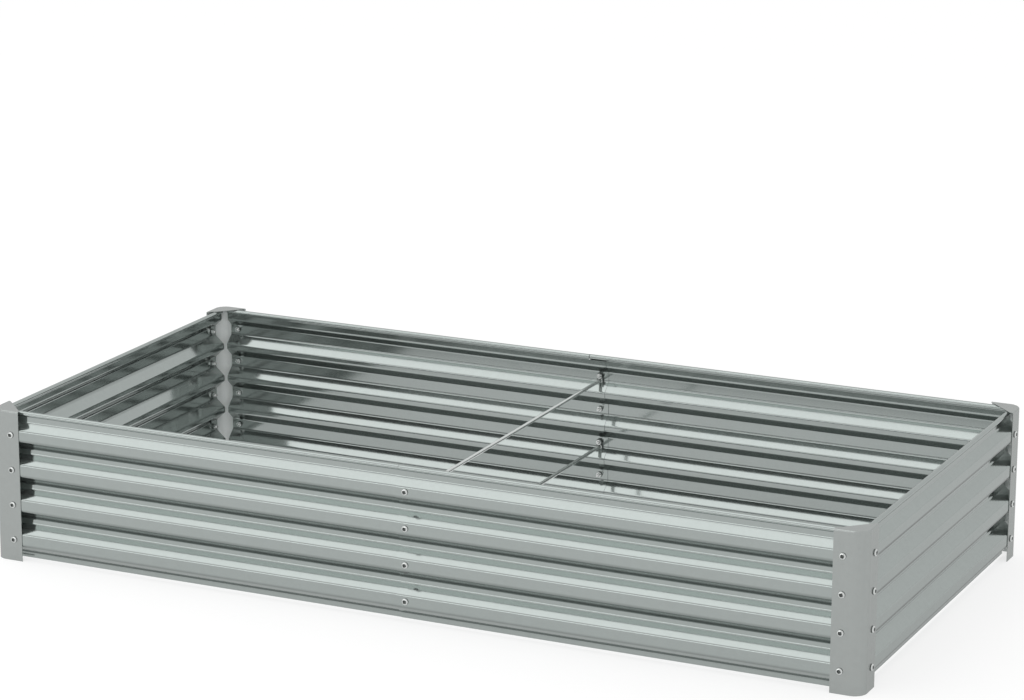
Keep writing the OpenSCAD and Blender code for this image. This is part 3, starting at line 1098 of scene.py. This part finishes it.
def make_fasteners():
    head = bolt_head()
    corner_parts = {"bolts": domed_bolt(CORNER_BOLT_LENGTH, head), "nuts": hexagon_nut(),
                    "washers": flat_washer()}
    middle_parts = {**corner_parts, "bolts": domed_bolt(MIDDLE_BOLT_LENGTH, head)}
    zincs = {
        "bolts": [fastener_zinc("bolt_zinc", BOLT_COLOUR, BOLT_ROUGHNESS),
                  fastener_zinc("recess_and_rim_shade_zinc", RECESS_AND_RIM_SHADE_COLOUR, RECESS_ROUGHNESS)],
        "nuts": [fastener_zinc("nut_zinc", NUT_COLOUR, NUT_ROUGHNESS)],
        "washers": [fastener_zinc("washer_zinc", WASHER_SHADE_COLOUR, WASHER_ROUGHNESS)],
    }
    inwards = Matrix.Rotation(-math.pi / 2, 4, "X")

    def column(kind, x, wall, name, middle=False):
        """The fasteners of one kind in one column of bolts, one for each row."""
        part = (middle_parts if middle else corner_parts)[kind]
        made = Shape()
        for row, height in enumerate(ROW_HEIGHTS):
            seat = Matrix.Translation((x, seat_depth(kind, row, middle), height))
            made.add(part, wall @ seat @ inwards @ own_turn(row, name))
        stand_for(made, f"{kind}_of_{name}", f"{kind}_{name}", zincs[kind])

    for kind in ("bolts", "nuts", "washers"):
        for face, face_name in ((-1, "front"), (1, "back")):
            column(kind, 0, long_wall(face), f"{face_name}_middle", middle=True)
            for end, end_name in ((-1, "left"), (1, "right")):
                corner = f"{face_name}_{end_name}"
                long_reach, short_reach = BED_LENGTH / 2 - BOLT_INSET, BED_WIDTH / 2 - BOLT_INSET
                column(kind, -face * end * long_reach, long_wall(face), corner + "_long")
                column(kind, face * end * short_reach, short_wall(end), corner + "_short")


# Stage, lights and camera

# The share of the floor's white that is its own, so that only a faint shadow is left
FLOOR_LIFT = 0.72
FLOOR_REACH = 60.0
FLOOR_DROP = 0.3 * MM
ROOM_LIGHT = 0.85

# The photograph's camera
IMAGE_WIDTH = 1024
FOCAL_PIXELS = 3557.8
SENSOR_WIDTH = 36
CAMERA_PLACE = (2.8336, -6.0351, 2.2129)
CAMERA_YAW = 0.4380
CAMERA_PITCH = 0.2629
CAMERA_ROLL = 0.0038


def seen_direct(graph):
    """1 where a ray comes from the camera, from gloss or through glass, and 0 where it carries soft light."""
    camera, glossy, clear = (graph.node("ShaderNodeLightPath", output=f"Is {kind} Ray")
                             for kind in ("Camera", "Glossy", "Transmission"))
    return camera + glossy + clear


def make_stage():
    """A white floor that keeps the bed's shadow."""
    bm = bmesh.new()
    bmesh.ops.create_grid(bm, x_segments=1, y_segments=1, size=FLOOR_REACH)
    floor = mesh_object(bm, "floor")
    floor.location.z = -FLOOR_DROP
    material = bpy.data.materials.new("floor_white")
    graph = Graph(material)
    grey = (1 - FLOOR_LIFT) / ROOM_LIGHT
    diffuse = graph.node("ShaderNodeBsdfDiffuse", {}, {"Color": (grey, grey, grey, 1)})
    lift = graph.node("ShaderNodeEmission", {}, {"Strength": FLOOR_LIFT * seen_direct(graph)})
    surface = graph.node("ShaderNodeAddShader", {}, {0: diffuse, 1: lift})
    graph.node("ShaderNodeOutputMaterial", {}, {"Surface": surface})
    floor.data.materials.append(material)


def make_world():
    """White all round, a little dimmer as a light than as a background."""
    world = bpy.data.worlds.new("studio")
    bpy.context.scene.world = world
    graph = Graph(world)
    strength = ROOM_LIGHT + (1 - ROOM_LIGHT) * seen_direct(graph)
    light = graph.node("ShaderNodeBackground", {}, {"Color": (1, 1, 1, 1), "Strength": strength})
    graph.node("ShaderNodeOutputWorld", {}, {"Surface": light})


def make_softbox(name, place, towards, size, radiance):
    """A soft lamp, given by the brightness that it adds to what is behind it, where 1 is white."""
    lamp = bpy.data.lights.new(name, "AREA")
    lamp.shape, lamp.size, lamp.size_y = "RECTANGLE", *size
    lamp.energy = radiance * math.pi * size[0] * size[1]
    made = bpy.data.objects.new(name, lamp)
    made.location = place
    made.rotation_euler = Vector(towards).to_track_quat("-Z", "Y").to_euler()
    made.visible_camera = False
    bpy.context.scene.collection.objects.link(made)


def make_camera():
    """The photograph's camera: its place, its way of looking and its lens."""
    camera = bpy.data.cameras.new("camera")
    camera.sensor_width = SENSOR_WIDTH
    camera.lens = SENSOR_WIDTH * FOCAL_PIXELS / IMAGE_WIDTH
    camera.clip_start, camera.clip_end = 0.1, 200
    made = bpy.data.objects.new("camera", camera)
    bpy.context.scene.collection.objects.link(made)
    yaw, roll = Matrix.Rotation(CAMERA_YAW, 4, "Z"), Matrix.Rotation(CAMERA_ROLL, 4, "Z")
    pitch = Matrix.Rotation(math.pi / 2 - CAMERA_PITCH, 4, "X")
    made.matrix_world = Matrix.Translation(CAMERA_PLACE) @ yaw @ pitch @ roll
    bpy.context.scene.camera = made


make_panels()
make_posts()
make_tie_rods()
make_fasteners()
make_stage()
make_world()
make_softbox("overhead_softbox", place=(-1.5, -1.1, 3.2), towards=(0, 0, -1), size=(3.4, 2.8), radiance=0.82)
make_softbox("low_front_softbox", place=(-1.5, -3.45, 0.7), towards=(0, 1, 0), size=(3.6, 0.5), radiance=2.0)
make_camera()
bpy.context.scene.view_settings.view_transform = "Standard"
